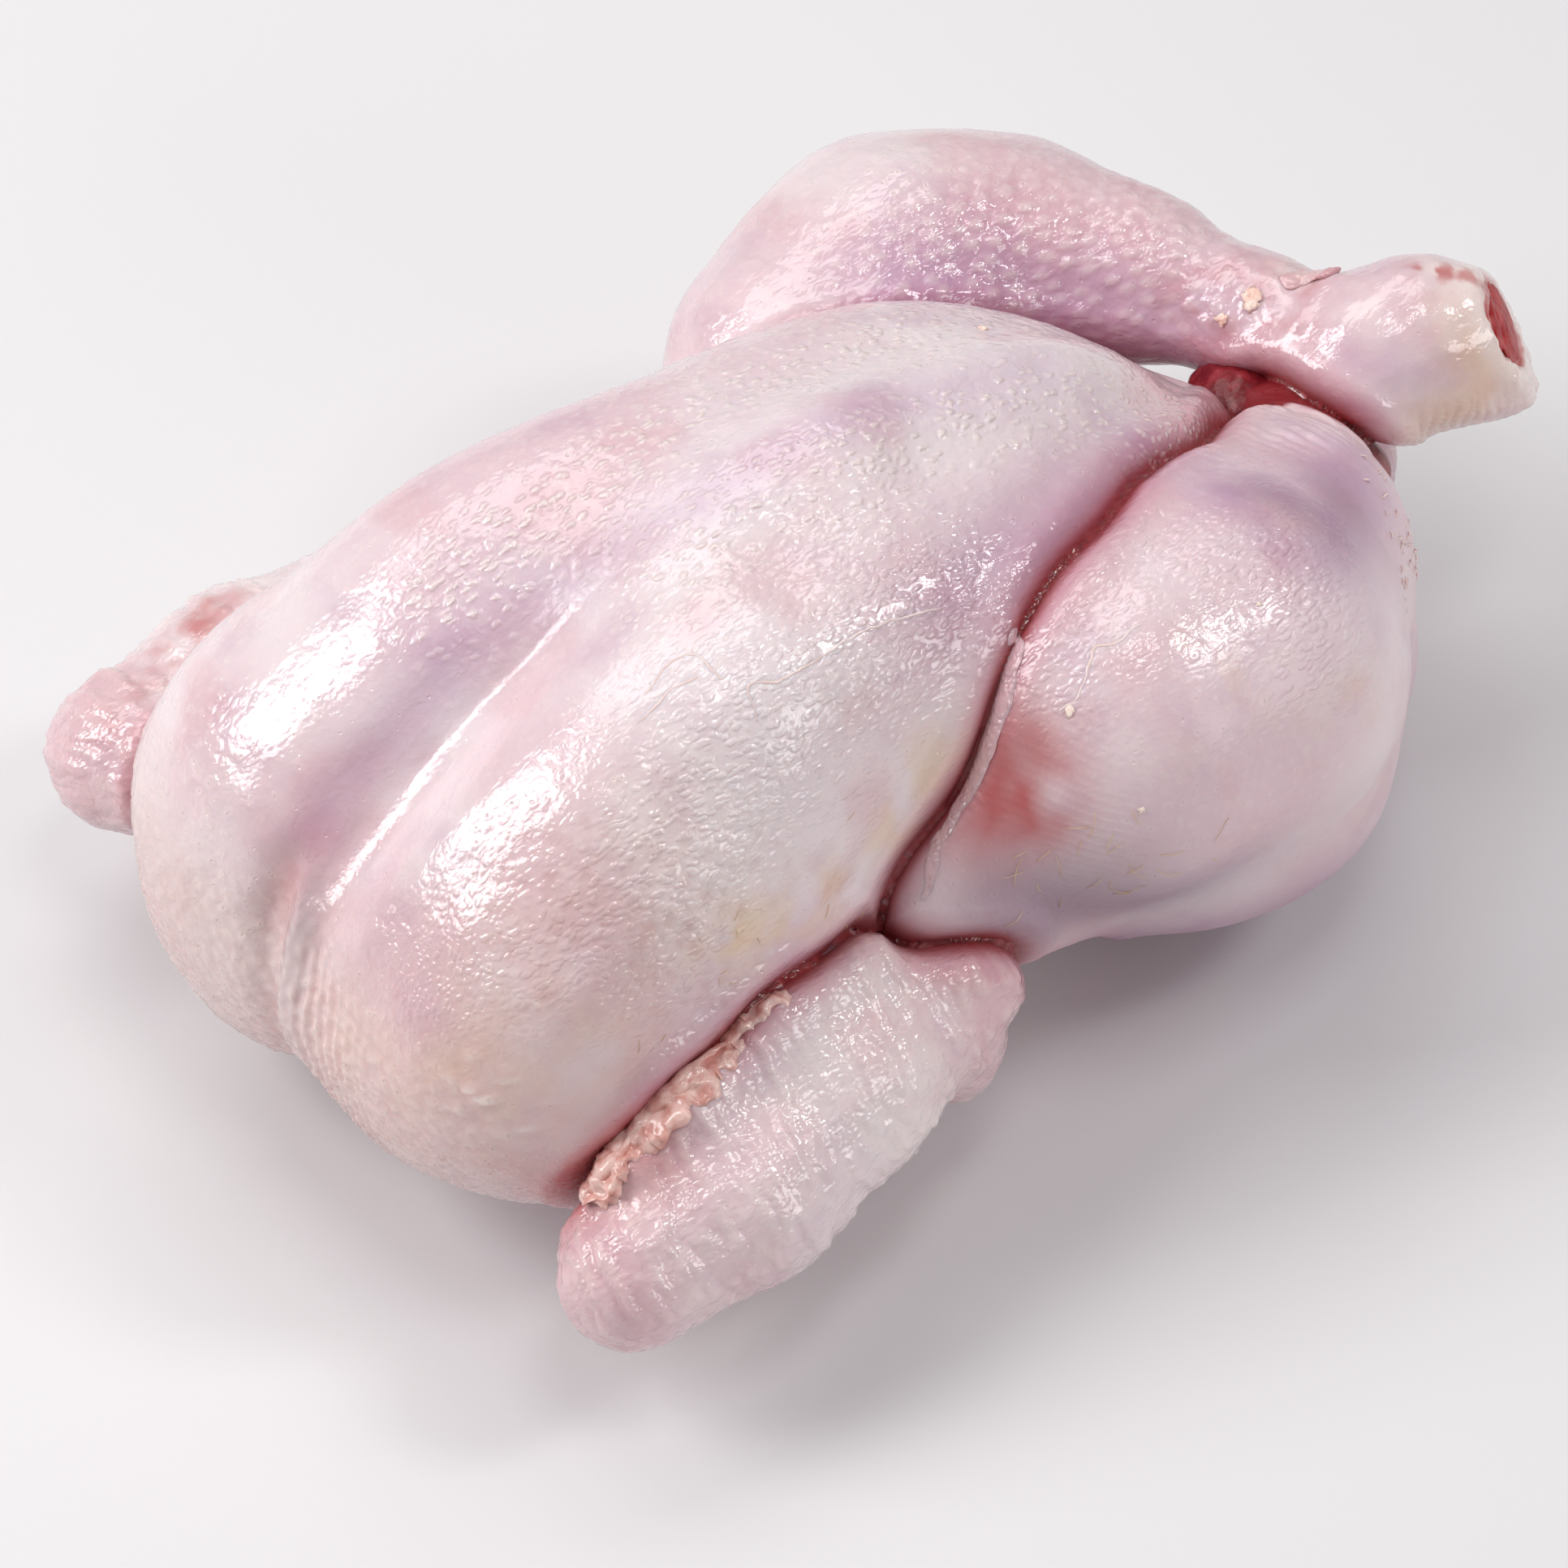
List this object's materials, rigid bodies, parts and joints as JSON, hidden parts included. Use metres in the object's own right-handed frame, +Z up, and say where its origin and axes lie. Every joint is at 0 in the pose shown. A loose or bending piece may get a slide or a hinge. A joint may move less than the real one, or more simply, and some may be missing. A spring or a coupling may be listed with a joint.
{
  "type": "whole raw chicken",
  "caption": "Whole raw plucked chicken lying on its back, breast up, with the drumsticks crossed over the tail and the wings folded along the sides.",
  "frame": {"origin": "on the surface it lies on, below the middle of the trunk, between the two wings", "axes": "+X from the neck end to the tail, +Y to the bird's left side, +Z up through the breast"},
  "size_m": [0.2299, 0.1553, 0.1016],
  "materials": {
    "skin": "moist, glossy, translucent"
  },
  "bodies": {
    "root": {"chicken": "skin"}
  },
  "joints": []
}
